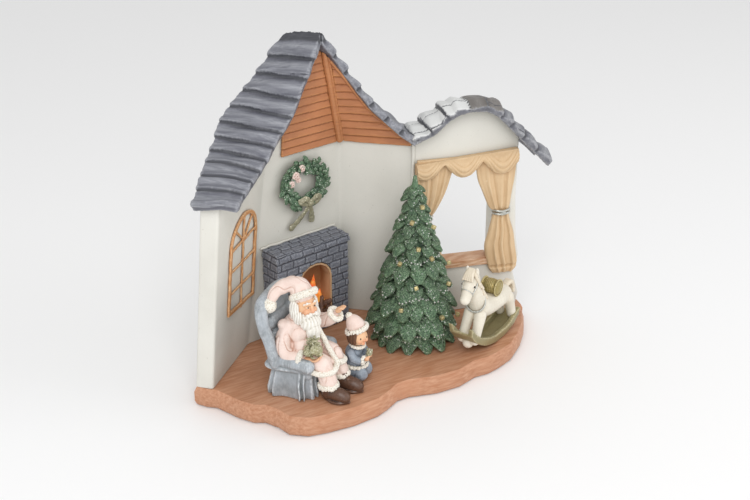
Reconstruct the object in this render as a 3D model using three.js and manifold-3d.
// A light-up Christmas house: an open corner of a room on a thick floor, with a seated figure,
// a child, a tree and a rocking horse, lit by a lamp in the fireplace.
// Millimetres, +Z up. The model is laid out on the floor plan: X runs along the front edge, Y to the
// back, and heights count from the top of the floor. The last lines stand it on z = 0.
import * as THREE from "three";
import Module from "manifold-3d";

// Driving dimensions: fits
const seatGap = 0.3; // between cast pieces that are glued together
const slideFit = 0.35; // around a piece that moves
const detail = 0.06; // smaller facets are merged

// Floor
const floorThickness = 15;
const floorLip = 2; // floor that shows behind the walls
const footHeight = 1;
const footRadius = 5;

// Walls: each runs from the last one's end, in the plan direction given in degrees
const wallStart = [-129.4, 2.5];
const leftWall = { length: 70.8, turn: 42.1 };
const backWall = { length: 93.7, turn: 8.4 };
const gableWall = { length: 58.9, turn: -44.1 };
const windowWall = { length: 89.4, turn: -17.6 };
const wallThickness = 14;
const leftWallLean = 5; // degrees that the left wall leans into the room
const gableLean = 0.19; // how far the roof corner drifts to the left for each millimetre above the boards
const boardFoot = 147.5; // height where the gable boards begin
const boardPitch = 6;
const boardThickness = 2;

// Roofs
const tileThickness = 6.5;
const tileTail = 3; // thickness of a course where the next one lies on it
const tileNose = 1.6; // how far a course hangs over the one below
const ridgeHeight = 8.5; // upright thickness where the two main roofs meet
const apexHeight = 231; // underside of the main roofs at the front end of the ridge
const ridgeDrop = 5; // how far the ridge falls to the back
const ridgeReach = 8.6; // how far the ridge stands out over the room
const eavesReach = 15.1; // and the roof edge below it
const roofBack = 23; // how far the roofs go back behind the back wall
const mainCourses = 11;
const gableCourses = 7;
const annexCourses = [
  [0, 0.14],
  [0.14, 0.26],
  [0.26, 0.37],
  [0.37, 0.45],
  [1, 0.87],
  [0.87, 0.75],
  [0.75, 0.62],
  [0.44, 0.54],
  [0.63, 0.53],
]; // nose and tail of each course, as shares of the way from the eave to the valley

// Window wall
const opening = { start: 16, end: 66, foot: 39.5, top: 128 };
const sill = { thickness: 5.7, proud: 2.5 };
const wallEndWave = [1.6, 3.1, -2.3, 1.7, -1.4, -3, -2.9, -3, -3]; // the cast end of the wall isn't straight
const wallEndHeights = [0.3, 9, 29.5, 43, 63, 96, 126, 200, 260];

// Side window, a frame cast on the left wall
const sideWindow = {
  start: 22,
  end: 74,
  footLow: 49,
  footHigh: 43.5,
  spring: 101,
  top: 123,
  bar: 3,
  depth: 1.8,
};
const lightRows = 2; // rows of panes under the arch, each between two cross bars

// Fireplace
const hearth = { start: 16.5, end: 86, depth: 20, height: 77, bed: 12 };
const mouth = { start: 36.5, end: 69.5, spring: 46, top: 60.5, depth: 15 };
const liningThickness = 1.4;

// Wreath
const wreath = { along: 55.3, height: 122.3, across: 17.8, up: 14.5, tube: 5.7, depth: 4.6 };

// Tree
const tree = { x: 39.5, y: -8, trunk: 6.5 };
const treeTiers = [
  [4, 33.5],
  [16, 38.5],
  [32, 35],
  [46, 31],
  [60, 29],
  [77, 23.5],
  [93, 20],
  [109, 15],
]; // height and radius of the branch tips of each tier
const treeTop = 133;

// Seats of the figures and the horse on the floor: place in plan and the way each faces, in degrees
const chairSeat = { x: -70, y: -27, yaw: -56 };
const childSeat = { x: -31, y: -38.5, yaw: -52 };
const horseSeat = { x: 91, y: -40, yaw: 204.5 };

// Rocking horse
const rocker = { radius: 60, rear: -31, front: 47, width: 20, wall: 3, depth: 7 };

// Battery box, let into the underside
const boxPlace = { x: 8, y: -18 };
const cell = { radius: 5.2, length: 44.5, tip: 1.9, tipLength: 1, count: 3, pitch: 11 };
const boxWall = 1.2;
const boxTop = 1;
const floorSkin = 1.6; // floor left over the battery box
const contactRoom = 1.5; // room for the contacts at each end of the cells
const contactThickness = 0.4;
const doorThickness = 1.2;
const switchSize = { length: 12, width: 6, depth: 6, slot: 9 };
const knobSize = { length: 4, width: 2.6, proud: 0.8 };
const leadRadius = 0.6;
const ledRadius = 2.5;
const ledLength = 8;
const screwRadius = 2.4;
const screw = { shank: 1.1, length: 10, head: 1.6, recess: 0.5 };
const screwSlot = { length: 3.2, width: 0.6, depth: 0.6 };

// Kit: solids from loops of points, joined and cut
const wasm = await Module();
wasm.setup();
const point = (x, y, z = 0) => new THREE.Vector3(x, y, z);
const radians = THREE.MathUtils.degToRad;

// A solid from corner points and triangles. Faces that all point inwards are turned round.
function solidFrom(points, triangles) {
  const build = (list) =>
    new wasm.Manifold(
      new wasm.Mesh({
        numProp: 3,
        vertProperties: new Float32Array(points.flatMap((p) => [p.x, p.y, p.z])),
        triVerts: new Uint32Array(list.flat()),
      }),
    );
  const made = build(triangles);
  return made.volume() > 0 ? made : build(triangles.map(([a, b, c]) => [a, c, b]));
}

// Triangles that close a loop of points, in the plane that the loop lies nearest to.
function capFaces(loop, first, flip) {
  const normal = point(0, 0, 0);
  loop.forEach((p, i) => {
    const q = loop[(i + 1) % loop.length];
    normal.add(point((p.y - q.y) * (p.z + q.z), (p.z - q.z) * (p.x + q.x), (p.x - q.x) * (p.y + q.y)));
  });
  normal.normalize();
  const side = Math.abs(normal.z) < 0.9 ? point(0, 0, 1) : point(1, 0, 0);
  const u = side.cross(normal).normalize();
  const v = normal.clone().cross(u);
  const flat = loop.map((p) => new THREE.Vector2(p.dot(u), p.dot(v)));
  return THREE.ShapeUtils.triangulateShape(flat, []).map(([a, b, c]) => {
    const turn = flat[b].clone().sub(flat[a]).cross(flat[c].clone().sub(flat[a]));
    const face = turn > 0 ? [a, b, c] : [a, c, b];
    return (flip ? face.reverse() : face).map((i) => i + first);
  });
}

// A closed solid through a stack of loops. A loop of one point closes the stack to a tip.
function loft(loops) {
  const points = loops.flat();
  const starts = loops.map((_, k) => loops.slice(0, k).reduce((sum, loop) => sum + loop.length, 0));
  const faces = [];
  for (let k = 0; k + 1 < loops.length; k++) {
    const count = Math.max(loops[k].length, loops[k + 1].length);
    const pick = (row, i) => starts[row] + (loops[row].length > 1 ? i % count : 0);
    for (let i = 0; i < count; i++) {
      if (loops[k].length > 1) faces.push([pick(k, i), pick(k, i + 1), pick(k + 1, i + 1)]);
      if (loops[k + 1].length > 1) faces.push([pick(k, i), pick(k + 1, i + 1), pick(k + 1, i)]);
    }
  }
  const last = loops.length - 1;
  if (loops[0].length > 1) faces.push(...capFaces(loops[0], 0, true));
  if (loops[last].length > 1) faces.push(...capFaces(loops[last], starts[last], false));
  return solidFrom(points, faces);
}

// A three.js geometry as a solid.
function solidOf(geometry) {
  const positions = (geometry.index ? geometry.toNonIndexed() : geometry).attributes.position;
  const points = [];
  const places = new Map();
  const corners = [];
  for (let i = 0; i < positions.count; i++) {
    const p = point(0, 0, 0).fromBufferAttribute(positions, i);
    const key = [p.x, p.y, p.z].map((value) => Math.round(value * 1e4)).join();
    if (!places.has(key)) places.set(key, points.push(p) - 1);
    corners.push(places.get(key));
  }
  const triangles = [];
  for (let i = 0; i < corners.length; i += 3) {
    const [a, b, c] = corners.slice(i, i + 3);
    if (a !== b && b !== c && c !== a) triangles.push([a, b, c]);
  }
  return solidFrom(points, triangles);
}

const join = (...solids) => solids.reduce((sum, next) => sum.add(next));

// The largest of a solid's separate bodies, so that a cut leaves no crumbs.
const whole = (solid) => solid.decompose().sort((a, b) => b.volume() - a.volume())[0];

// A copy with every corner pushed outwards, to cut a seat with clearance around a neighbour.
function swollen(solid, by) {
  const { vertProperties, triVerts } = solid.getMesh();
  const corner = (i) => point(...vertProperties.subarray(3 * i, 3 * i + 3));
  const normals = Array.from({ length: vertProperties.length / 3 }, () => point(0, 0, 0));
  for (let i = 0; i < triVerts.length; i += 3) {
    const ids = [...triVerts.subarray(i, i + 3)];
    const [a, b, c] = ids.map(corner);
    const face = b.clone().sub(a).cross(c.clone().sub(a)).normalize();
    const angle = (p, q, r) => q.clone().sub(p).angleTo(r.clone().sub(p));
    [angle(a, b, c), angle(b, c, a), angle(c, a, b)].forEach((weight, k) =>
      normals[ids[k]].addScaledVector(face, weight),
    );
  }
  const points = normals.map((normal, i) => corner(i).addScaledVector(normal.normalize(), by));
  const triangles = [];
  for (let i = 0; i < triVerts.length; i += 3) triangles.push([...triVerts.subarray(i, i + 3)]);
  return solidFrom(points, triangles);
}

const cornerSpread = 1.6; // a pushed corner moves its faces by less than itself
const fit = (solid, ...neighbours) =>
  whole(neighbours.reduce((rest, next) => rest.subtract(swollen(next, seatGap * cornerSpread)), solid));

// A frame set on the plan: x forward along yaw, y to its left, z up, with an optional lean towards -y.
function frameAt(x, y, yaw, lean = 0) {
  const along = point(Math.cos(radians(yaw)), Math.sin(radians(yaw)));
  const left = point(-along.y, along.x);
  const slope = Math.tan(radians(lean));
  return {
    at: (u, v, w) => point(x, y, w).addScaledVector(along, u).addScaledVector(left, v - w * slope),
    yaw: radians(yaw),
  };
}

// A loop around a centre, in the plane of two directions. The radius may change with the angle.
function loopAround(centre, across, over, radius, sides) {
  return Array.from({ length: sides }, (_, i) => {
    const angle = (2 * Math.PI * i) / sides;
    const r = typeof radius === "function" ? radius(angle) : radius;
    const along = across.clone().multiplyScalar(r * Math.cos(angle));
    return centre.clone().add(along).addScaledVector(over, r * Math.sin(angle));
  });
}

// A round limb along a line of [x, y, z, radius] stops in a frame, domed at both ends.
function limb(frame, stops, sides = 8) {
  const centres = stops.map(([x, y, z]) => frame.at(x, y, z));
  const radii = stops.map((stop) => stop[3]);
  const last = stops.length - 1;
  const heading = (i) =>
    centres[Math.min(i + 1, last)].clone().sub(centres[Math.max(i - 1, 0)]).normalize();
  let across = point(0.31, 0.17, 0.94).cross(heading(0)).normalize();
  const loops = [];
  const ring = (centre, radius, along) => {
    across = across.clone().addScaledVector(along, -across.dot(along)).normalize();
    loops.push(loopAround(centre, across, along.clone().cross(across), radius, sides));
  };
  const dome = 0.7;
  const [start, end] = [heading(0), heading(last)];
  loops.push([centres[0].clone().addScaledVector(start, -radii[0])]);
  ring(centres[0].clone().addScaledVector(start, -radii[0] * dome), radii[0] * dome, start);
  centres.forEach((centre, i) => ring(centre, radii[i], heading(i)));
  ring(centres[last].clone().addScaledVector(end, radii[last] * dome), radii[last] * dome, end);
  loops.push([centres[last].clone().addScaledVector(end, radii[last])]);
  return loft(loops);
}

// An egg shape in a frame, tipped forward by an angle in degrees.
function egg(frame, [x, y, z], [a, b, c], tip = 0, sides = 12, rows = 8) {
  const shape = new THREE.SphereGeometry(1, sides, rows).rotateX(Math.PI / 2).scale(a, b, c);
  const centre = frame.at(x, y, z);
  shape.rotateY(radians(tip)).rotateZ(frame.yaw).translate(centre.x, centre.y, centre.z);
  return solidOf(shape);
}

// A box between two corners in a frame. The last value draws the top in on every side.
function block(frame, [x0, y0, z0], [x1, y1, z1], taper = 0) {
  const ring = (z, by) => [
    frame.at(x0 + by, y0 + by, z),
    frame.at(x1 - by, y0 + by, z),
    frame.at(x1 - by, y1 - by, z),
    frame.at(x0 + by, y1 - by, z),
  ];
  return loft([ring(z0, 0), ring(z1, taper)]);
}

// A round bar between two places.
function rod(from, to, radius, sides = 16) {
  const heading = to.clone().sub(from).normalize();
  const side = (Math.abs(heading.z) < 0.9 ? point(0, 0, 1) : point(1, 0)).cross(heading).normalize();
  const up = heading.clone().cross(side);
  return loft([from, to].map((end) => loopAround(end, side, up, radius, sides)));
}

// Corners of a unit circle, as [cosine, sine]
const ellipse = (sides) =>
  Array.from({ length: sides }, (_, i) => [
    Math.cos((2 * Math.PI * i) / sides),
    Math.sin((2 * Math.PI * i) / sides),
  ]);
const smooth = (points) => new THREE.CatmullRomCurve3(points, false, "centripetal");
const mix = (a, b, share) => a + (b - a) * share;

// Group, and a call that turns a solid into one of its named meshes
const house = new THREE.Group();
function add(name, solid, color, roughness = 0.7, metalness = 0) {
  const { vertProperties, triVerts } = whole(solid.asOriginal().simplify(detail)).getMesh();
  const geometry = new THREE.BufferGeometry();
  geometry.setAttribute("position", new THREE.BufferAttribute(vertProperties, 3));
  geometry.setIndex(new THREE.BufferAttribute(triVerts, 1));
  geometry.computeVertexNormals();
  const mesh = new THREE.Mesh(geometry, new THREE.MeshStandardMaterial({ color, roughness, metalness }));
  mesh.name = name;
  house.add(mesh);
}

// Wall frames: x along the wall's room face from its left end, -y into the room
const walls = [leftWall, backWall, gableWall, windowWall];
let nextCorner = point(...wallStart);
walls.forEach((wall) => {
  Object.assign(wall, frameAt(nextCorner.x, nextCorner.y, wall.turn), { start: nextCorner });
  nextCorner = wall.at(wall.length, 0, 0);
});
const wallEnd = nextCorner;
const leanedWall = frameAt(leftWall.start.x, leftWall.start.y, leftWall.turn, leftWallLean);

// Where two walls meet at floor level, at a depth behind their room faces
function mitre(before, after, depth) {
  const half = radians((before.turn + after.turn) / 2 + 90);
  const reach = depth / Math.cos(radians((before.turn - after.turn) / 2));
  return after.start.clone().add(point(Math.cos(half), Math.sin(half)).multiplyScalar(reach));
}

// Corners of the room wall at a height. The left wall leans, so its corner slides along the back
// wall, and above the boards the gable corner drifts to the left.
const cornerSlide = Math.tan(radians(leftWallLean)) / Math.sin(radians(leftWall.turn - backWall.turn));
const outerSlide = 0.4; // the outside of that corner slides less
function roomCorners(height, depth) {
  const alongBack = backWall.at(1, 0, 0).sub(backWall.start);
  const slide = height * cornerSlide * (depth ? outerSlide : 1);
  const drift = -gableLean * Math.max(0, height - boardFoot);
  const lift = point(0, 0, height);
  return [
    leanedWall.at(0, depth, height),
    mitre(leftWall, backWall, depth).add(lift).addScaledVector(alongBack, slide),
    mitre(backWall, gableWall, depth).add(lift).addScaledVector(alongBack, drift),
    mitre(gableWall, windowWall, depth).add(lift),
  ];
}

// A point on a roof edge: share of the way along a wall, distance into the room, height
const over = (wall, share, inward, height) => wall.at(wall.length * share, -inward, height);

// Roof edges under the tiles, each from its low end to its high end
const apex = over(backWall, 0.773, ridgeReach, apexHeight);
const ridgeBack = over(backWall, 0.639, -roofBack, apexHeight - ridgeDrop);
const valley = over(windowWall, -0.024, 12, 150.5);
const valleyBack = over(windowWall, 0.03, -32, 145);
const evenCourses = (count) => Array.from({ length: count }, (_, i) => [i / count, (i + 1) / count]);
const mainRoof = {
  front: smooth([
    over(leftWall, -0.07, 28.5, 146),
    over(leftWall, 0.316, 28, 151.5),
    over(leftWall, 0.973, 27.6, 162.4),
    over(backWall, 0.411, eavesReach, apexHeight - 50),
    over(backWall, 0.586, eavesReach, apexHeight - 22),
    apex,
  ]),
  back: smooth([
    over(leftWall, -0.075, -3.3, 143.5),
    over(leftWall, 0.243, -8, 154.3),
    over(leftWall, 0.8, -14.9, 162.5),
    over(backWall, 0.028, -22.7, 177),
    over(backWall, 0.314, -roofBack, apexHeight - ridgeDrop - 27),
    ridgeBack,
  ]),
  crown: 1.5,
  courses: evenCourses(mainCourses),
  ridge: ridgeHeight,
};
const gableRoof = {
  front: smooth([
    valley,
    over(gableWall, 0.742, 12, 163.7),
    over(gableWall, 0.404, 12, 182.9),
    over(gableWall, 0.09, 12, 206.7),
    apex,
  ]),
  back: smooth([
    valleyBack,
    over(gableWall, 0.426, -30.4, 160),
    over(gableWall, 0, -25.9, 181),
    over(gableWall, -0.323, -14.2, 206),
    ridgeBack,
  ]),
  crown: 0,
  courses: evenCourses(gableCourses),
  ridge: ridgeHeight,
};
const annexRoof = {
  front: smooth([
    over(windowWall, 1.2, 12, 124),
    over(windowWall, 1.035, 12, 138.5),
    over(windowWall, 0.8, 12, 160.5),
    over(windowWall, 0.66, 12, 172),
    over(windowWall, 0.41, 12, 173),
    over(windowWall, 0.29, 12, 168),
    over(windowWall, 0.15, 12, 157.5),
    valley,
  ]),
  back: smooth([
    over(windowWall, 1.2, -18, 122),
    over(windowWall, 1.035, -18, 136),
    over(windowWall, 0.8, -18, 157),
    over(windowWall, 0.66, -18, 168),
    over(windowWall, 0.41, -18, 169),
    over(windowWall, 0.3, -19, 166),
    over(windowWall, 0.17, -23, 158),
    valleyBack,
  ]),
  crown: 6,
  courses: annexCourses,
  ridge: 0,
};

// A point under a roof: share of the way up from the low end, and back from the front edge.
// Past either end the roof runs on straight.
function underRoof(roof, up, back) {
  const edge = (curve) => {
    const inside = THREE.MathUtils.clamp(up, 0, 1);
    const past = (up - inside) * curve.getLength();
    return curve.getPoint(inside).addScaledVector(curve.getTangent(inside), past);
  };
  const bulge = roof.crown * Math.max(0, 1 - (2 * back - 1) ** 2);
  return edge(roof.front).lerp(edge(roof.back), back).add(point(0, 0, bulge));
}

// The tiled slab: each course has a thick nose at its low end and ends thin under the next.
function tiledRoof(roof) {
  const columns = [0, 0.33, 0.67, 1];
  const section = (up, thickness, upright = 0) => {
    const upper = columns.map((back) => {
      const ahead = underRoof(roof, up + 0.01, back).sub(underRoof(roof, up - 0.01, back));
      const sideways = underRoof(roof, up, back + 0.05).sub(underRoof(roof, up, back - 0.05));
      const normal = ahead.cross(sideways).normalize();
      const outward = normal.z < 0 ? -thickness : thickness;
      return underRoof(roof, up, back).addScaledVector(normal, outward).add(point(0, 0, upright));
    });
    return [...columns.map((back) => underRoof(roof, up, back)), ...upper.reverse()];
  };
  const overhang = tileNose / roof.front.getLength();
  const courses = roof.courses.map(([low, high]) => {
    const way = Math.sign(high - low);
    const ridge = high === 1 ? roof.ridge : 0;
    return loft([
      section(low > 0 && low < 1 ? low - way * overhang : low, tileThickness * 0.75),
      section(mix(low, high, 0.2), tileThickness),
      section(ridge ? high : high + way * 0.01, ridge ? 0 : tileTail, ridge),
    ]);
  });
  return join(...courses);
}

// The space over a roof's underside, to trim a wall against it
const skyHeight = 420;
function skyOver(roof) {
  const rows = [-0.25, 0, 0.1, 0.2, 0.3, 0.4, 0.5, 0.6, 0.7, 0.8, 0.9, 1, 1.25];
  const columns = [-0.8, 0, 0.5, 1, 1.6];
  return loft(
    rows.map((up) => {
      const under = columns.map((back) => underRoof(roof, up, back).add(point(0, 0, -2 * seatGap)));
      return [...under, ...under.map((p) => point(p.x, p.y, skyHeight)).reverse()];
    }),
  );
}

const roofs = [mainRoof, gableRoof, annexRoof].map(tiledRoof);
const skies = [mainRoof, gableRoof, annexRoof].map(skyOver);
const slate = 0x6e6f7a;
add("main_roof_left", roofs[0], slate, 0.75);
add("main_roof_right", fit(roofs[1], roofs[0]), slate, 0.75);
add("annex_roof", fit(roofs[2], roofs[0], roofs[1]), slate, 0.75);

// Room wall, three sides in one casting
const wallHeights = [seatGap, 50, 100, boardFoot, 260];
const roomWall = loft(
  wallHeights.map((height) => [...roomCorners(height, 0), ...roomCorners(height, wallThickness).reverse()]),
)
  .subtract(skies[0])
  .subtract(skies[1]);
const plaster = 0xe9e8e2;
add("room_wall", fit(roomWall, roofs[0], roofs[1]), plaster, 0.8);

// Window wall with its opening, and the sill that lies in it
const startGap = seatGap * 1.2;
const windowWallBlock = loft(
  wallEndHeights.map((height, i) => {
    const end = windowWall.length + wallEndWave[i];
    const backStart = mitre(gableWall, windowWall, wallThickness).add(point(0, 0, height));
    const shift = windowWall.at(startGap, 0, 0).sub(windowWall.start);
    return [
      windowWall.at(startGap, 0, height),
      windowWall.at(end, 0, height),
      windowWall.at(end, wallThickness, height),
      backStart.add(shift),
    ];
  }),
);
const openingBlock = block(
  windowWall,
  [opening.start, -5, opening.foot],
  [opening.end, wallThickness + 5, opening.top],
);
const openedWall = windowWallBlock.subtract(openingBlock).subtract(skies[2]);
add("window_wall", fit(openedWall, ...roofs), plaster, 0.8);
const sillBoard = block(
  windowWall,
  [opening.start + seatGap, -sill.proud, opening.foot + seatGap],
  [opening.end - seatGap, wallThickness, opening.foot + sill.thickness],
);
add("window_sill", sillBoard, 0xb97f57, 0.6);

// Floor: its front edge as shares of the line between the wall ends, and distances in front of it
const floorFront = [
  [-0.022, -3],
  [0, 2.5],
  [0.03, 24],
  [0.055, 35],
  [0.08, 39],
  [0.1, 50],
  [0.11, 62],
  [0.15, 71],
  [0.2, 74],
  [0.28, 76],
  [0.355, 74],
  [0.395, 70],
  [0.44, 63.5],
  [0.48, 63],
  [0.56, 69],
  [0.635, 69.5],
  [0.7, 64],
  [0.745, 64.5],
  [0.785, 62],
  [0.845, 56],
  [0.905, 44],
  [0.953, 31],
  [0.988, 18],
  [1.012, 5],
];
const frontLine = wallEnd.clone().sub(leftWall.start);
const frontOut = point(frontLine.y, -frontLine.x).normalize();
const floorBack = [
  windowWall.at(windowWall.length + 6.5, -3, 0),
  windowWall.at(windowWall.length + 5, wallThickness + floorLip, 0),
  mitre(gableWall, windowWall, wallThickness + floorLip),
  mitre(backWall, gableWall, wallThickness + floorLip),
  mitre(leftWall, backWall, wallThickness + floorLip),
  leftWall.at(-0.5, wallThickness + floorLip / 2, 0),
];
const floorEdge = [
  ...floorFront.map(([share, depth]) =>
    leftWall.start.clone().addScaledVector(frontLine, share).addScaledVector(frontOut, depth),
  ),
  ...floorBack,
];
const floorMiddle = point(0, -5);
const floorRing = ([height, inset]) =>
  floorEdge.map((p) => {
    const inward = floorMiddle.clone().sub(p).normalize();
    return p.clone().addScaledVector(inward, inset).setZ(height);
  });
const floorBlock = loft(
  [
    [-floorThickness, 1.5],
    [-floorThickness + 3, 0],
    [-4, 0],
    [0, 2.2],
  ].map(floorRing),
);

// Battery box in its pocket, in a frame of its own: x along the cells
const boxFrame = frameAt(boxPlace.x, boxPlace.y, 0);
const innerHalf = [cell.length / 2 + contactRoom, cell.pitch * (cell.count - 1) / 2 + cell.radius + 1.3];
const outerHalf = innerHalf.map((half) => half + boxWall);
const boxCeiling = -floorSkin - seatGap;
const cellAxis = boxCeiling - boxTop - seatGap - cell.radius;
const pocket = block(
  boxFrame,
  [-outerHalf[0] - seatGap, -outerHalf[1] - seatGap, -floorThickness - 1],
  [outerHalf[0] + seatGap, outerHalf[1] + seatGap, -floorSkin],
);
const boxShell = block(
  boxFrame,
  [-outerHalf[0], -outerHalf[1], -floorThickness],
  [outerHalf[0], outerHalf[1], boxCeiling],
);
const boxRoom = block(
  boxFrame,
  [-innerHalf[0], -innerHalf[1], -floorThickness - 1],
  [innerHalf[0], innerHalf[1], boxCeiling - boxTop],
);

// Door pivot: two pins on the box run in bores at the ends of the door's barrel
const pivot = { radius: 0.8, reach: 2, barrel: 1.4 };
const pivotY = -innerHalf[1] + pivot.barrel + seatGap;
const pivotZ = -floorThickness + pivot.barrel - 0.1;
const pivotAt = (x) => boxFrame.at(x, pivotY, pivotZ);
const pins = [-1, 1].map((side) =>
  rod(pivotAt(side * (innerHalf[0] + 0.5)), pivotAt(side * (innerHalf[0] - pivot.reach)), pivot.radius, 12),
);
const doorTop = -floorThickness - 0.1 + doorThickness;
const doorHalf = innerHalf[0] - slideFit;
const doorPlate = block(
  boxFrame,
  [-doorHalf, pivotY, doorTop - doorThickness],
  [doorHalf, innerHalf[1] - slideFit, doorTop],
);
const doorTab = block(
  boxFrame,
  [-4, innerHalf[1] - slideFit - 1, doorTop - 0.5],
  [4, innerHalf[1] - slideFit, doorTop + 3],
);
const bores = [-1, 1].map((side) =>
  rod(
    pivotAt(side * (doorHalf + 1)),
    pivotAt(side * (innerHalf[0] - pivot.reach - slideFit)),
    pivot.radius + 0.25,
    12,
  ),
);
const door = join(rod(pivotAt(-doorHalf), pivotAt(doorHalf), pivot.barrel, 12), doorPlate, doorTab);

// Slide switch beside the box, its knob in a slot
const switchPlace = frameAt(boxPlace.x + outerHalf[0] + 14, boxPlace.y, 0);
const half = (size) => size / 2;
const switchTop = -floorThickness + switchSize.depth;
const switchWell = block(
  switchPlace,
  [-half(switchSize.length) - seatGap, -half(switchSize.width) - seatGap, -floorThickness - 1],
  [half(switchSize.length) + seatGap, half(switchSize.width) + seatGap, switchTop + seatGap],
);
const switchBody = block(
  switchPlace,
  [-half(switchSize.length), -half(switchSize.width), -floorThickness],
  [half(switchSize.length), half(switchSize.width), switchTop],
);
const slotDepth = 2.6;
const slot = block(
  switchPlace,
  [-half(switchSize.slot), -half(knobSize.width) - slideFit, -floorThickness - 1],
  [half(switchSize.slot), half(knobSize.width) + slideFit, -floorThickness + slotDepth],
);
const knobStart = -half(switchSize.slot) + slideFit;
const knob = block(
  switchPlace,
  [knobStart, -half(knobSize.width), -floorThickness - knobSize.proud],
  [knobStart + knobSize.length, half(knobSize.width), -floorThickness + slotDepth - slideFit],
);

// Lamp under the fire, and the two leads in a channel under the floor
const lampX = (mouth.start + mouth.end) / 2;
const lampAt = (height) => backWall.at(lampX, -hearth.depth / 2 - 2, height);
const lampFoot = hearth.bed - 4;
const lampDome = lampFoot + ledLength - ledRadius;
const lamp = join(
  rod(lampAt(lampFoot), lampAt(lampDome), ledRadius, 14),
  egg(frameAt(lampAt(0).x, lampAt(0).y, 0), [0, 0, lampDome], Array(3).fill(ledRadius), 0, 14, 8),
);
const leadHeight = -floorThickness + 3.2;
const boxBack = boxPlace.y + outerHalf[1];
function lead(side) {
  const [x, y] = [lampAt(0).x + side * 1.3, lampAt(0).y];
  const line = frameAt(0, 0, 0);
  const stops = [
    [x, y, lampFoot - 1, leadRadius],
    [x, y, leadHeight + 2, leadRadius],
    [x + 1, y - 2, leadHeight, leadRadius],
    [boxPlace.x - 12 + side * 1.3, boxBack + 4, leadHeight, leadRadius],
    [boxPlace.x - 12 + side * 1.3, boxBack + 1.2, leadHeight, leadRadius],
  ];
  return limb(line, stops, 6);
}
const leads = [-1, 1].map(lead);
const lampHole = rod(lampAt(-floorThickness - 1), lampAt(1), 3.4, 12);
const channelWay = boxFrame.at(-12, outerHalf[1] + 0.1, 0);
const channelTurn = THREE.MathUtils.radToDeg(
  Math.atan2(lampAt(0).y - channelWay.y, lampAt(0).x - channelWay.x),
);
const channel = block(
  frameAt(channelWay.x, channelWay.y, channelTurn),
  [-4, -3.4, -floorThickness - 1],
  [Math.hypot(lampAt(0).x - channelWay.x, lampAt(0).y - channelWay.y) + 3, 3.4, leadHeight + 2.4],
);

// Screws that hold the box, in lugs at two corners, and rubber feet on the underside
const lugPlaces = [
  [-outerHalf[0] - screwRadius - 0.6, outerHalf[1] - 6],
  [outerHalf[0] + screwRadius + 0.6, outerHalf[1] - 6],
];
const lugs = lugPlaces.map(([x, y]) =>
  block(
    boxFrame,
    [x - screwRadius - 1, y - screwRadius - 1, -floorThickness + 2.4],
    [x + screwRadius + 1, y + screwRadius + 1, -floorThickness + 5],
  ),
);
const lugRooms = lugPlaces.map(([x, y]) =>
  block(
    boxFrame,
    [x - screwRadius - 1 - seatGap, y - screwRadius - 1 - seatGap, -floorThickness - 1],
    [x + screwRadius + 1 + seatGap, y + screwRadius + 1 + seatGap, -floorThickness + 5 + seatGap],
  ),
);
const screwAt = ([x, y], height) => boxFrame.at(x, y, height);
const screwHoles = lugPlaces.map((place) =>
  rod(
    screwAt(place, -floorThickness),
    screwAt(place, -floorThickness + screw.length + seatGap),
    screw.shank + seatGap,
    12,
  ),
);
const screws = lugPlaces.map((place) => {
  const headFoot = -floorThickness + screw.recess;
  const headTop = headFoot + screw.head;
  const slots = [0, 90].map((turn) =>
    block(
      frameAt(screwAt(place, 0).x, screwAt(place, 0).y, turn),
      [-screwSlot.length / 2, -screwSlot.width / 2, headFoot - 1],
      [screwSlot.length / 2, screwSlot.width / 2, headFoot + screwSlot.depth],
    ),
  );
  return join(
    rod(screwAt(place, headFoot), screwAt(place, headTop), screwRadius, 14),
    rod(screwAt(place, headTop - 0.1), screwAt(place, -floorThickness + screw.length), screw.shank, 12),
  ).subtract(join(...slots));
});

add(
  "base_floor",
  whole(
    [pocket, switchWell, lampHole, channel, ...lugRooms, ...screwHoles].reduce(
      (rest, next) => rest.subtract(next),
      floorBlock,
    ),
  ),
  0xb07a55,
  0.6,
);
const boxCast = [boxRoom, ...screwHoles].reduce((rest, next) => rest.subtract(next), join(boxShell, ...lugs));
const leadPorts = [-1, 1].map((side) =>
  rod(
    boxFrame.at(-12 + side * 1.3, innerHalf[1] - 1, leadHeight),
    boxFrame.at(-12 + side * 1.3, outerHalf[1] + 1, leadHeight),
    leadRadius + seatGap,
    8,
  ),
);
const darkPlastic = 0x2b2b2d;
add("battery_box", whole(join(boxCast, ...pins).subtract(join(...leadPorts))), darkPlastic, 0.5);
add("battery_door", whole(door.subtract(join(...bores))), darkPlastic, 0.5);
for (let i = 0; i < cell.count; i++) {
  const y = (i - (cell.count - 1) / 2) * cell.pitch;
  const way = i % 2 ? -1 : 1;
  const at = (x) => boxFrame.at(way * x, y, cellAxis);
  const body = rod(at(-cell.length / 2), at(cell.length / 2 - cell.tipLength), cell.radius, 18);
  const tip = rod(at(cell.length / 2 - cell.tipLength - 0.5), at(cell.length / 2), cell.tip, 12);
  add(`battery_cell_${i + 1}`, join(body, tip), 0xa9adb2, 0.35, 0.5);
}

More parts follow.
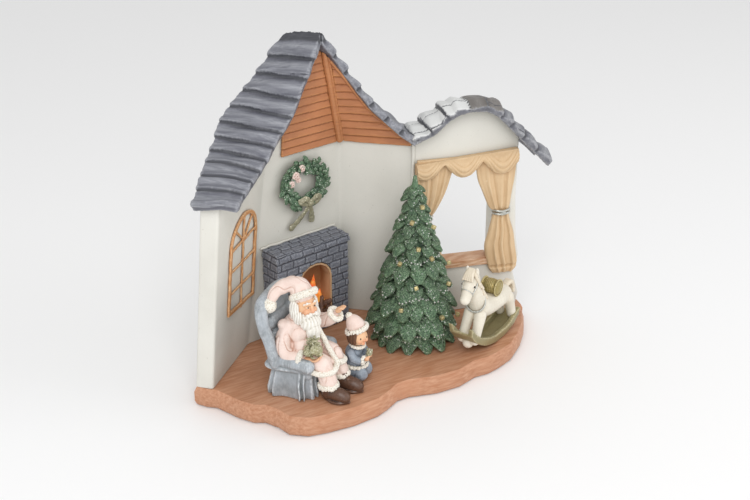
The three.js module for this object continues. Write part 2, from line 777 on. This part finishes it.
// Contact plates: a single one and a bridge at each end
const contactName = [
  "contact_plate_plus",
  "contact_bridge_right",
  "contact_bridge_left",
  "contact_plate_minus",
];
const contactRows = [[-1], [0, 1], [-1, 0], [1]];
contactName.forEach((name, i) => {
  const way = i < 2 ? 1 : -1;
  const rows = contactRows[i];
  const wallX = innerHalf[0] - 0.2;
  const ends = (a, b) => (way > 0 ? [a, b] : [-b, -a]);
  const [x0, x1] = ends(wallX - contactThickness, wallX);
  const plate = block(
    boxFrame,
    [x0, rows[0] * cell.pitch - 3.5, cellAxis - 3.5],
    [x1, rows[rows.length - 1] * cell.pitch + 3.5, cellAxis + 3.5],
  );
  const bosses = rows.map((row) => {
    const at = (x) => boxFrame.at(way * x, row * cell.pitch, cellAxis);
    return rod(at(wallX - contactThickness / 2), at(cell.length / 2 + 0.3), 1.5, 10);
  });
  add(name, join(plate, ...bosses), 0xb9bbbf, 0.35, 0.9);
});
add("switch_housing", switchBody.subtract(slot), darkPlastic, 0.5);
add("switch_knob", knob, 0x1d1d1f, 0.45);
add("red_lead", leads[0], 0xb02a22, 0.5);
add("black_lead", leads[1], 0x1b1b1c, 0.5);
screws.forEach((screw, i) => add(`box_screw_${i + 1}`, screw, 0xa8aaad, 0.35, 0.9));
const footPlaces = [
  [-92, -56],
  [102, -48],
  [-78, 44],
  [36, 46],
];
footPlaces.forEach(([x, y], i) => {
  const at = (height) => point(x, y, height);
  const foot = rod(at(-floorThickness - footHeight), at(-floorThickness - 0.02), footRadius, 18);
  add(`rubber_foot_${i + 1}`, foot, 0x3a3a3c, 0.9);
});

// Boards in the gable over the walls, and the post that covers their corner
const postFace = (height) => roomCorners(height, 0)[2];
const postTurn = radians((backWall.turn + gableWall.turn) / 2);
const postWay = point(Math.sin(postTurn), -Math.cos(postTurn));
const post = loft(
  [boardFoot, 190, 225].map((height) => {
    const centre = postFace(height).addScaledVector(postWay, 3);
    return loopAround(centre, point(postWay.y, -postWay.x), postWay, 2.3, 10);
  }),
);
const boardGap = 0.35;
function boards(name, corner, shareAt, reach) {
  const rows = Math.round(reach / boardPitch);
  const face = (share, height, out) => {
    const [from, to] = [roomCorners(height, 0)[corner], roomCorners(height, 0)[corner + 1]];
    const inward = point(to.y - from.y, from.x - to.x).normalize();
    return from.lerp(to, share).addScaledVector(inward, out);
  };
  const profile = [];
  for (let row = 0; row < rows; row++) {
    const low = boardFoot + row * boardPitch;
    profile.push([low, boardThickness], [low + boardPitch - 0.4, boardThickness * 0.45]);
  }
  const ends = shareAt.map((share) => [
    face(share, boardFoot, boardGap),
    ...profile.map(([height, out]) => face(share, height, boardGap + out)),
    face(share, boardFoot + rows * boardPitch, boardGap),
  ]);
  const cut = skies.slice(0, 2).reduce((rest, sky) => rest.subtract(sky), loft(ends));
  add(name, fit(cut, roofs[0], roofs[1], post), 0xb5744a, 0.65);
}
const postCut = skies.slice(0, 2).reduce((rest, sky) => rest.subtract(sky), post);
boards("gable_boards_left", 1, [0.2, 0.953], 84);
boards("gable_boards_right", 2, [0.075, 0.97], 84);
add("corner_post", fit(postCut, roofs[0], roofs[1]), 0xb5744a, 0.65);

// Fireplace: a block with an arched mouth, a lining in the mouth, and the fire on its bed
function archLoop(way, grow, out, foot) {
  const middle = (mouth.start + mouth.end) / 2;
  const half = (mouth.end - mouth.start) / 2 + grow;
  const rise = mouth.top - mouth.spring + grow;
  const top = Array.from({ length: 9 }, (_, i) => {
    const angle = (Math.PI * i) / 8;
    return way.at(middle + half * Math.cos(angle), -out, mouth.spring + rise * Math.sin(angle));
  });
  return [way.at(middle - half, -out, foot), way.at(middle + half, -out, foot), ...top];
}
const arch = (grow, from, to, foot) => loft([from, to].map((out) => archLoop(backWall, grow, out, foot)));
const surround = join(
  block(
    backWall,
    [hearth.start, -hearth.depth, seatGap],
    [hearth.end, -seatGap * 1.5, hearth.height],
    0.001,
  ),
  block(
    backWall,
    [hearth.start - 1.2, -hearth.depth - 1.4, hearth.height - 6],
    [hearth.end + 1.2, -seatGap * 1.5, hearth.height],
    1,
  ),
);
const mouthBack = hearth.depth - mouth.depth;
const leftWallRoom = loft(
  [0, 100].map((height) => [
    leanedWall.at(-10, 20, height),
    leanedWall.at(90, 20, height),
    leanedWall.at(90, -seatGap, height),
    leanedWall.at(-10, -seatGap, height),
  ]),
);
const lampBore = rod(lampAt(-1), lampAt(hearth.bed + 2), ledRadius + slideFit, 14);
add(
  "fireplace_surround",
  whole(
    surround
      .subtract(arch(0, mouthBack, hearth.depth + 3, hearth.bed))
      .subtract(lampBore)
      .subtract(leftWallRoom),
  ),
  0x5f6069,
  0.8,
);
const liningSolid = arch(-seatGap, mouthBack + seatGap, hearth.depth - 0.6, hearth.bed + seatGap)
  .subtract(
    arch(
      -seatGap - liningThickness,
      mouthBack + seatGap + liningThickness,
      hearth.depth + 3,
      hearth.bed + seatGap + liningThickness,
    ),
  )
  .subtract(rod(lampAt(0), lampAt(hearth.bed + 4), ledRadius + slideFit, 14));
add("hearth_lining", whole(liningSolid), 0xc9a986, 0.8);
const fireFloor = hearth.bed + seatGap + liningThickness + seatGap;
const fireFrame = frameAt(lampAt(0).x, lampAt(0).y, backWall.turn);
const lampRoom = rod(lampAt(0), lampAt(lampFoot + ledLength + 0.4), ledRadius + slideFit, 14);
const logs = [
  [[-10, -4.4, 2], [10, -4.4, 2], 2.2],
  [[-8, 3.4, 1.8], [-6, -6, 4.4], 2],
  [[8, 3.4, 1.8], [6, -6, 4.4], 2],
  [[-9, -3, 5.4], [8, -4.6, 7.6], 1.9],
  [[-1, -6.4, 1.6], [3, -3, 11], 1.6],
].map(([from, to, radius]) =>
  limb(fireFrame, [
    [from[0], from[1], from[2] + fireFloor, radius],
    [to[0], to[1], to[2] + fireFloor, radius * 0.9],
  ]),
);
const fireCut = block(fireFrame, [-20, -20, 0], [20, 20, fireFloor]);
const logPile = join(...logs).subtract(fireCut).subtract(lampRoom);
const tongues = [
  [-6, 1, 9, 3.2],
  [-2.5, -0.5, 16, 3.8],
  [2, 0.8, 20, 3.8],
  [6, 0, 12, 3.2],
].map(([x, y, height, radius]) => {
  const ring = (z, r, shift) =>
    loopAround(fireFrame.at(x + shift, y, fireFloor + z), point(1, 0), point(0, 1), r, 8);
  return loft([
    ring(0.2, radius * 0.7, 0),
    ring(height * 0.3, radius, 0.4),
    ring(height * 0.65, radius * 0.62, -0.5),
    [fireFrame.at(x + 0.8, y, fireFloor + height)],
  ]);
});
const flameWeb = egg(fireFrame, [0, 0.4, fireFloor + 4], [8, 3.2, 3.6], 0, 10, 6).subtract(fireCut);
const flame = whole(fit(join(...tongues, flameWeb).subtract(lampRoom), logPile));
add("fire_logs", whole(logPile), 0x4a2d20, 0.8);
add("fire_flame", flame, 0xe8873a, 0.4);
add("fire_led", lamp, 0xf0e6c8, 0.2);

// Side window: a raised arched frame with glazing bars, on the leaning wall
const glass = sideWindow;
const sideMiddle = (glass.start + glass.end) / 2;
function sideArch(grow, out) {
  const half = (glass.end - glass.start) / 2 + grow;
  const rise = glass.top - glass.spring + grow;
  const top = Array.from({ length: 13 }, (_, i) => {
    const angle = (Math.PI * i) / 12;
    return leanedWall.at(sideMiddle + half * Math.cos(angle), -out, glass.spring + rise * Math.sin(angle));
  });
  const sill = [
    leanedWall.at(sideMiddle - half, -out, glass.footLow - grow),
    leanedWall.at(sideMiddle + half, -out, glass.footHigh - grow),
  ];
  return [...sill, ...top];
}
const archSlab = (grow, from, to) => loft([sideArch(grow, from), sideArch(grow, to)]);
const glazingBar = ([x0, z0], [x1, z1], width) => {
  const along = point(x1 - x0, 0, z1 - z0).normalize();
  const side = point(-along.z, 0, along.x).multiplyScalar(width / 2);
  const loop = (out) =>
    [
      [x0 + side.x, z0 + side.z],
      [x1 + side.x, z1 + side.z],
      [x1 - side.x, z1 - side.z],
      [x0 - side.x, z0 - side.z],
    ].map(([x, z]) => leanedWall.at(x, -out, z));
  return loft([loop(seatGap), loop(seatGap + glass.depth * 0.8)]);
};
const crossBars = Array.from({ length: lightRows + 1 }, (_, i) => [
  [glass.start + 1, mix(glass.spring, glass.footLow, i / (lightRows + 1))],
  [glass.end - 1, mix(glass.spring, glass.footHigh, i / (lightRows + 1))],
]);
const rayRise = 0.7 * (glass.top - glass.spring);
const barLines = [
  [[sideMiddle, glass.footHigh + 1], [sideMiddle, glass.top - 1]],
  ...crossBars,
  [[sideMiddle, glass.spring], [glass.start + 8, glass.spring + rayRise]],
  [[sideMiddle, glass.spring], [glass.end - 8, glass.spring + rayRise]],
];
const frameRing = archSlab(0, seatGap, seatGap + glass.depth).subtract(
  archSlab(-glass.bar, -1, glass.depth + 2),
);
add("side_window_frame", join(frameRing, ...barLines.map(([a, b]) => glazingBar(a, b, 1.8))), 0xc88a58, 0.6);

// Curtains: pleated drapes, each as rows of height, left and right edge, and depth
const drapeSide = (rows, folds) =>
  loft(
    rows.map(([height, left, right, depth]) => {
      const steps = folds * 4;
      const front = Array.from({ length: steps + 1 }, (_, i) => {
        const share = i / steps;
        const edge = Math.min(1, 4 * Math.min(share, 1 - share) + 0.35);
        const fold = 0.72 + 0.28 * Math.cos(2 * Math.PI * folds * share);
        return windowWall.at(mix(left, right, share), -seatGap - depth * edge * fold, height);
      });
      return [...front, windowWall.at(right, -seatGap, height), windowWall.at(left, -seatGap, height)];
    }),
  );
const drapes = {
  curtain_left: [
    [30, 2, 24, 4.5],
    [45, 2, 25.5, 5.5],
    [62, 3, 22, 5.5],
    [78, 5, 16, 5],
    [86, 6, 15, 4.2],
    [92, 5.5, 19, 4.6],
    [106, 4, 26, 5],
    [122, 3, 31, 4.5],
    [135, 3, 34, 3.5],
  ],
  curtain_right: [
    [31.5, 68, 86, 4.5],
    [38, 64, 89, 5.5],
    [55, 60.5, 86.5, 5.5],
    [67, 63, 84.5, 5.5],
    [80, 65.8, 80.5, 5],
    [86, 66.5, 79.5, 4.2],
    [91, 62.5, 80.5, 4.6],
    [104, 57, 82, 5],
    [114, 53, 83.5, 4.8],
    [126, 51, 84.5, 4],
    [136, 50, 85, 3.5],
  ],
};
const valanceRows = Array.from({ length: 19 }, (_, i) => {
  const along = mix(-3.5, 84.5, i / 18);
  const swag = Math.abs(Math.sin((Math.PI * (along + 8)) / 31.5));
  const low = mix(131, 119.5, swag);
  const high = 132.5 + (along / 84.5) * 6.5;
  return [
    windowWall.at(along, -seatGap, low + 2),
    windowWall.at(along, -seatGap - 6 - 2 * swag, low),
    windowWall.at(along, -seatGap - 9.5, mix(low, high, 0.45)),
    windowWall.at(along, -seatGap - 7, high),
    windowWall.at(along, -seatGap, high),
  ];
});
const valanceStart = 1.2;
const valance = loft(valanceRows.slice(1)).subtract(
  block(windowWall, [-20, -30, 100], [valanceStart, 5, 160]),
);
const cream = 0xe3cd9c;
const curtains = Object.entries(drapes).map(([name, rows]) => {
  const curtain = fit(drapeSide(rows, 4), valance, sillBoard);
  add(name, curtain, cream, 0.85);
  return curtain;
});
add("curtain_valance", whole(valance), cream, 0.85);
[
  [6, 15],
  [66.5, 79.5],
].forEach(([from, to], i) => {
  const band = loft(
    [84, 88].map((height) => [
      windowWall.at(from - 1.4, -seatGap, height),
      windowWall.at(from - 1.2, -4, height),
      windowWall.at(from + 2, -6.6, height),
      windowWall.at(to - 2, -6.6, height),
      windowWall.at(to + 1.2, -4, height),
      windowWall.at(to + 1.4, -seatGap, height),
    ]),
  );
  const roomCut = drapeSide(
    drapes[i ? "curtain_right" : "curtain_left"].map(([z, a, b, d]) => [z, a, b, d / 0.72 + 0.2]),
    1,
  );
  const name = `curtain_tieback_${i ? "right" : "left"}`;
  add(name, fit(band.subtract(roomCut), curtains[i]), 0xb9b9b4, 0.4, 0.6);
});

// Wreath on the back wall, its bow and its roses
const wreathPlace = (angle, spread, out) =>
  backWall.at(
    wreath.along + wreath.across * spread * Math.cos(angle),
    -out,
    wreath.height + wreath.up * spread * Math.sin(angle),
  );
const ringSteps = 30;
const wreathShape = new THREE.TorusGeometry(1, 0.3, 7, ringSteps);
const wreathPoints = wreathShape.attributes.position;
for (let i = 0; i < wreathPoints.count; i++) {
  const p = point(0, 0, 0).fromBufferAttribute(wreathPoints, i);
  const angle = Math.atan2(p.y, p.x);
  const around = (Math.round((angle / (2 * Math.PI)) * ringSteps) + ringSteps) % ringSteps;
  const leaf = around % 2 ? 1.13 : 0.88;
  const spread = 1 + ((Math.hypot(p.x, p.y) - 1) / 0.3) * (wreath.tube / wreath.across) * leaf;
  const out = seatGap + wreath.depth * (1 + (p.z / 0.3) * leaf * 0.85);
  const place = wreathPlace(angle, spread, out);
  wreathPoints.setXYZ(i, place.x, place.y, place.z);
}
const wreathRing = solidOf(wreathShape);
const bowFrame = frameAt(backWall.start.x, backWall.start.y, backWall.turn);
const knot = { along: wreath.along + 1.7, height: wreath.height - wreath.up - 0.3 };
const ribbon = (stops) =>
  limb(
    bowFrame,
    stops.map(([along, out, rise, radius]) => [knot.along + along, out, knot.height + rise, radius]),
    6,
  );
const bow = join(
  egg(bowFrame, [knot.along, -10, knot.height - 0.5], [2.6, 2.2, 2.6], 0, 8, 6),
  ribbon([[-1, -10, 0, 1.6], [-6, -11, 4, 3], [-9.5, -10, 2, 2.2]]),
  ribbon([[1, -10, 0, 1.6], [6, -11, 3.5, 3], [9.5, -10, 1, 2.2]]),
  ribbon([[-0.5, -9.5, -2, 1.6], [-5, -7, -9.5, 2.3], [-13, -3.2, -19.5, 2.5]]),
  ribbon([[0.5, -9.5, -2, 1.6], [3, -7, -9.5, 2.3], [5.5, -3.2, -18, 2.5]]),
);
const rosePlaces = [
  [-10.8, 10.2, 4],
  [-4.8, 14.7, 3.6],
  [-14.8, 4.2, 3.4],
  [-8.3, 6.2, 3],
]; // along and above the middle of the ring, and radius
const roses = join(
  ...rosePlaces.map(([along, rise, radius]) =>
    egg(
      bowFrame,
      [wreath.along + along, -9.2, wreath.height + rise],
      [radius, radius * 0.8, radius],
      0,
      9,
      6,
    ),
  ),
);
add("wreath_ring", fit(wreathRing, bow, roses), 0x4e6e4c, 0.8);
add("wreath_bow", bow, 0xa8a89a, 0.5, 0.3);
add("wreath_roses", whole(roses), 0xe3c9c4, 0.7);

// Tree: tiers of drooping branch tips that stop short of the walls
const treeMiddle = point(tree.x, tree.y);
function wallClear(angle) {
  const way = point(Math.cos(angle), Math.sin(angle));
  const reaches = [gableWall, windowWall].map((wall) => {
    const outward = wall.at(0, 1, 0).sub(wall.start);
    const closing = way.dot(outward);
    return closing > 0.05 ? wall.start.clone().sub(treeMiddle).dot(outward) / closing : 1000;
  });
  return Math.min(...reaches) - 2.5;
}
const tipCount = 11;
function tier([tip, reach], index) {
  const next = treeTiers[index + 1];
  const top = next ? next[0] + 12 : treeTop;
  const inner = next ? next[1] * 0.42 : 0.5;
  const ring = (height, radius, lobe, droop) =>
    Array.from({ length: tipCount * 2 }, (_, i) => {
      const angle = (Math.PI * (i + index * 0.9)) / tipCount;
      const out = i % 2 ? 1 - lobe : 1;
      const far = Math.min(radius * out, wallClear(angle));
      const low = i % 2 ? 0 : droop;
      return point(tree.x + far * Math.cos(angle), tree.y + far * Math.sin(angle), height - low);
    });
  return loft([
    ring(tip + 3, reach * 0.5, 0, 0),
    ring(tip + 3, reach * 0.97, 0.2, 2.4),
    ring(tip + 6.5, reach * 0.93, 0.16, 2),
    ring(mix(tip, top, 0.5), mix(reach, inner, 0.5), 0.06, 0),
    next ? ring(top, inner, 0, 0) : [point(tree.x, tree.y, treeTop)],
  ]);
}
const trunkFrame = frameAt(tree.x, tree.y, 0);
const trunk = join(
  limb(trunkFrame, [[0, 0, 4, tree.trunk], [0, 0, 26, tree.trunk * 0.7]], 10),
  limb(trunkFrame, [[-4, -2, 4, 3.4], [-16, -6, 2.4, 3], [-24, -9, 1.6, 2]], 8),
  limb(trunkFrame, [[2, -3, 4, 3.4], [11, -12, 2, 2.4]], 8),
).subtract(block(trunkFrame, [-60, -60, -20], [60, 60, seatGap]));
const branches = join(...treeTiers.map(tier));
add("tree_branches", fit(branches, trunk), 0x4c7150, 0.8);
add("tree_trunk", whole(trunk), 0x8a5a3c, 0.75);

// Armchair and the seated figure
const chair = frameAt(chairSeat.x, chairSeat.y, chairSeat.yaw);
const rounded = (frame, [x0, x1], [y0, y1], height, wave, count) =>
  Array.from({ length: count }, (_, i) => {
    const angle = (2 * Math.PI * i) / count;
    const [c, s] = [Math.cos(angle), Math.sin(angle)];
    const square = (value) => Math.sign(value) * Math.abs(value) ** 0.45;
    const ripple = 1 + (i % 2 ? -wave : wave);
    const x = (x0 + x1) / 2 + ((x1 - x0) / 2) * square(c) * ripple;
    const y = (y0 + y1) / 2 + ((y1 - y0) / 2) * square(s) * ripple;
    return frame.at(x, y, height);
  });
const pleats = 36;
const skirt = loft([
  rounded(chair, [-22, 17.5], [-23, 25], seatGap, 0.045, pleats),
  rounded(chair, [-20.5, 16.5], [-22, 24], 12, 0.03, pleats),
  rounded(chair, [-18.5, 15.5], [-20.5, 22.5], 24, 0, pleats),
]);
const backTwist = 0.1; // the near side of the back stands further back
const backCurve = 2.4; // and both sides curve back
const backRest = loft(
  [
    [16, -12, 5, 21],
    [30, -12.5, 4.6, 20.5],
    [48, -16, 4.3, 21.5],
    [60, -19.5, 4.3, 23],
    [69, -22, 4.2, 22],
    [76, -22.5, 3.8, 16.5],
    [80.5, -22, 2.6, 8],
  ].map(([height, x, depth, width]) =>
    ellipse(16).map(([c, s]) =>
      chair.at(x + c * depth - backCurve * s * s + backTwist * s * width, 1 + s * width, height),
    ),
  ),
);
const chairArm = (y) =>
  join(
    limb(chair, [[-14, y, 27, 5], [0, y, 27.5, 5.2], [13, y, 27, 5.6]], 10),
    block(chair, [-14, y - 4.2, 14], [14.5, y + 4.2, 27]),
  );
const chairBlock = join(skirt, backRest, chairArm(-17.5), chairArm(19.5));

// Level rings of a figure, from rows of height, middle, half depth and half width
const ringsOf = (frame, rows, sides = 14) =>
  loft(rows.map(([height, x, depth, width]) =>
    ellipse(sides).map(([c, s]) => frame.at(x + c * depth, s * width, height)),
  ));
const torso = ringsOf(chair, [
  [22, 2, 13, 13.5],
  [30, 3, 14, 15],
  [39, 3, 14.5, 15],
  [48, -1, 12, 13.5],
  [55, -4, 8.5, 11],
  [59, -4, 4.5, 5],
]);
const coatSkirt = ringsOf(
  chair,
  [
    [11, 24, 5, 15.5],
    [14, 23.5, 6.5, 16],
    [24, 21, 8, 15.5],
    [32, 16, 9, 13.5],
    [35.5, 12, 5, 9],
  ],
  18,
);
const hemRoll = limb(
  chair,
  [
    [19.5, -15, 12.5, 2.6],
    [26.5, -10, 11.5, 3],
    [28.5, 0, 11, 3],
    [26.5, 10, 11.5, 3],
    [19.5, 15, 12.5, 2.6],
  ],
  8,
);
const figure = join(
  torso,
  coatSkirt,
  hemRoll,
  limb(chair, [[-6, -10, 51, 5.6], [-7.5, -14, 41, 5.8], [-5, -15.5, 33, 5.6], [3, -15, 31, 5]], 9),
  limb(chair, [[3, -15, 31, 5.6], [5.5, -15, 31.4, 5.6]], 9),
  limb(chair, [[6, -15, 31.6, 3.4], [14, -13.5, 32.6, 3.4]], 8),
  limb(chair, [[-5, 11, 51, 5.6], [5, 16, 47, 5.6], [14, 16, 50, 5.2], [18, 16, 54, 4.6]], 9),
  limb(chair, [[17.8, 16, 54, 5.2], [20, 15.8, 56.4, 5.2]], 9),
  limb(chair, [[20, 15.8, 57, 3.4], [23.5, 15, 61, 3.2]], 8),
);
const face = join(
  egg(chair, [3.8, 0, 67.5], [8.6, 8, 9.6], 0, 14, 10),
  egg(chair, [12.6, 0, 66.4], [1.9, 1.8, 1.9], 0, 8, 6),
);
const beard = join(
  egg(chair, [9, 0, 60.5], [6.8, 9.8, 7.6], 22, 12, 8),
  egg(chair, [12.8, 0, 53.5], [4.8, 6.6, 7], 18, 10, 8),
  egg(chair, [2.6, -8.6, 64.5], [5.4, 3.2, 7], 0, 9, 7),
  egg(chair, [2.6, 8.6, 64.5], [5.4, 3.2, 7], 0, 9, 7),
  egg(chair, [12.6, -2.8, 62.8], [2.4, 3.8, 1.9], 0, 8, 6),
  egg(chair, [12.6, 2.8, 62.8], [2.4, 3.8, 1.9], 0, 8, 6),
);
const brim = (frame, x, height, radius, tube, lean) => {
  const centre = frame.at(x, 0, height);
  const ring = new THREE.TorusGeometry(radius, tube, 8, 18).rotateY(radians(lean)).rotateZ(frame.yaw);
  return solidOf(ring.translate(centre.x, centre.y, centre.z));
};
const santaHat = join(
  brim(chair, 1.6, 75.5, 8.6, 3, -30),
  limb(
    chair,
    [
      [0.6, 0, 77, 8.2],
      [-2, -0.5, 82, 6.8],
      [-8, -3, 83, 5.6],
      [-14, -7, 80, 4.6],
      [-18, -10, 75.5, 3.8],
      [-19.5, -11.5, 72, 3],
    ],
    10,
  ),
  egg(chair, [-20, -12.5, 69.5], [5, 5, 5], 0, 10, 7),
);
const boot = (y, ahead) =>
  join(
    limb(chair, [[ahead, y, 9, 5.4], [ahead + 0.5, y, 5, 5.2]], 9),
    limb(chair, [[ahead - 1, y, 5, 5], [ahead + 8, y, 5, 5.4], [ahead + 12.5, y, 4.4, 4.6]], 9),
  ).subtract(block(chair, [-60, -60, -20], [80, 60, seatGap]));
const baubles = join(
  ...[
    [12.5, -13.5, 38.5, 4.6],
    [17.5, -11, 39.5, 4.6],
    [13, -9.5, 43.5, 4.4],
    [18, -15.5, 42.5, 3.8],
  ].map(([x, y, z, radius]) => egg(chair, [x, y, z], [radius, radius, radius], 0, 10, 7)),
);
const boots = [boot(-10, 26), boot(8, 28.5)];
const bodyCast = fit(figure, face, beard, baubles, santaHat, ...boots);
const chairCast = fit(chairBlock, bodyCast, santaHat, beard, ...boots);
add("armchair", chairCast, 0x9aa0aa, 0.7);
add("santa_body", bodyCast, 0xe9cfc4, 0.75);
add("santa_head", fit(face, beard, santaHat), 0xe8b79a, 0.6);
add("santa_beard", fit(beard, santaHat), 0xf0ece4, 0.85);
add("santa_hat", whole(santaHat), 0xe9cfc4, 0.75);
add("santa_boot_left", whole(boots[1]), 0x4b3226, 0.45);
add("santa_boot_right", whole(boots[0]), 0x4b3226, 0.45);
add("santa_bauble_bunch", whole(baubles), 0xa39a72, 0.35, 0.6);

// Child beside the chair
const child = frameAt(childSeat.x, childSeat.y, childSeat.yaw);
const childRoom = block(child, [-20, -20, -5], [20, 20, seatGap]);
const childBody = join(
  ringsOf(
    child,
    [
      [seatGap, -1, 8.5, 9],
      [4, -1, 10, 10.5],
      [11, -1, 9, 9.5],
      [16, -1.5, 8, 9],
      [24, -2, 6.5, 8],
      [29, -1.5, 3.5, 5],
    ],
    12,
  ),
  ...[-1, 1].map((side) => egg(child, [5, 4.6 * side, 7], [5.6, 4.8, 6.4], 0, 9, 7).subtract(childRoom)),
  limb(child, [[-2, -7, 24, 3.4], [3, -8, 20, 3.4], [8, -3, 20.5, 2.8]], 8),
  limb(child, [[-2, 7, 24, 3.4], [3, 8, 21, 3.4], [8, 3.4, 23, 2.8]], 8),
);
const childHead = join(
  egg(child, [2.2, 0, 36.6], [7.4, 7.2, 7.6], 0, 12, 8),
  egg(child, [9.8, 0, 36], [1.1, 1, 1.1], 0, 6, 5),
);
const childHat = join(
  limb(child, [[-0.5, 0, 44.5, 7], [-2.5, 0, 47.5, 5.2], [-4.5, 0, 49.5, 3.2]], 10),
  brim(child, 0.4, 41.6, 7.6, 2.3, -20),
);
const childTorso = fit(childBody, childHead);
add("child_body", childTorso, 0x9ba3ad, 0.7);
add("child_head", fit(childHead, childHat), 0xe8b79a, 0.6);
add("child_hat", childHat, 0xe3cfc6, 0.75);

// Rocking horse on its tray
const horse = frameAt(horseSeat.x, horseSeat.y, horseSeat.yaw);
const trayStations = 11;
const tray = loft(
  Array.from({ length: trayStations }, (_, i) => {
    const x = mix(rocker.rear, rocker.front, i / (trayStations - 1));
    const z = seatGap + rocker.radius - Math.sqrt(rocker.radius ** 2 - x ** 2);
    const half = rocker.width / 2;
    return [
      [-half, 0],
      [half, 0],
      [half + 0.6, rocker.depth],
      [half - rocker.wall, rocker.depth],
      [half - rocker.wall - 0.6, 2.6],
      [-half + rocker.wall + 0.6, 2.6],
      [-half + rocker.wall, rocker.depth],
      [-half - 0.6, rocker.depth],
    ].map(([y, up]) => horse.at(x, y, z + up));
  }),
);
const horseBody = join(
  limb(horse, [[-19, 0, 30, 8], [-8, 0, 31, 9], [8, 0, 32, 9], [20, 0, 36, 9.5]], 12),
  limb(horse, [[20, 0, 38, 9], [26, 0, 48, 7.4], [30, 0, 58, 6.4], [32, 0, 63, 6]], 10),
  limb(horse, [[31, 0, 63, 6.4], [36.5, 0, 57, 5.6], [41, 0, 50.5, 4.4]], 10),
  limb(horse, [[26, 4.6, 31, 5], [31, 5.4, 20, 4], [35, 5.6, 11.5, 4]], 8),
  limb(horse, [[26, -4.6, 31, 5], [31, -5.4, 20, 4], [35, -5.6, 11.5, 4]], 8),
  limb(horse, [[-20, 4.6, 28, 5.6], [-24, 5.2, 18, 4.2], [-27, 5.4, 9, 4]], 8),
  limb(horse, [[-20, -4.6, 28, 5.6], [-24, -5.2, 18, 4.2], [-27, -5.4, 9, 4]], 8),
  limb(horse, [[-24, 0, 35, 3.2], [-29, 0, 36, 3.6], [-33, 0, 29, 2.6]], 8),
  egg(horse, [31.5, -3.6, 70], [1.8, 1.6, 3.8], 0, 6, 6),
  egg(horse, [31.5, 3.6, 70], [1.8, 1.6, 3.8], 0, 6, 6),
  limb(horse, [[31, 0, 69, 3], [24, 0, 64, 3.4], [18, 0, 54, 3.2], [13, 0, 45, 2.4]], 8),
);
const drum = rod(horse.at(0, -7.5, 44.5), horse.at(0, 7.5, 44.5), 6.8, 18);
add("horse_rockers", tray, 0xa8924f, 0.4, 0.6);
add("horse_body", fit(horseBody, tray, drum), 0xe6e0d2, 0.6);
add("horse_drum", drum, 0xa8924f, 0.4, 0.6);

// Stand the model on z = 0, with the middle of its box over the origin
const extent = new THREE.Box3().setFromObject(house);
const middle = extent.getCenter(point(0, 0, 0));
house.position.set(-middle.x, -middle.y, -extent.min.z);
export default house;
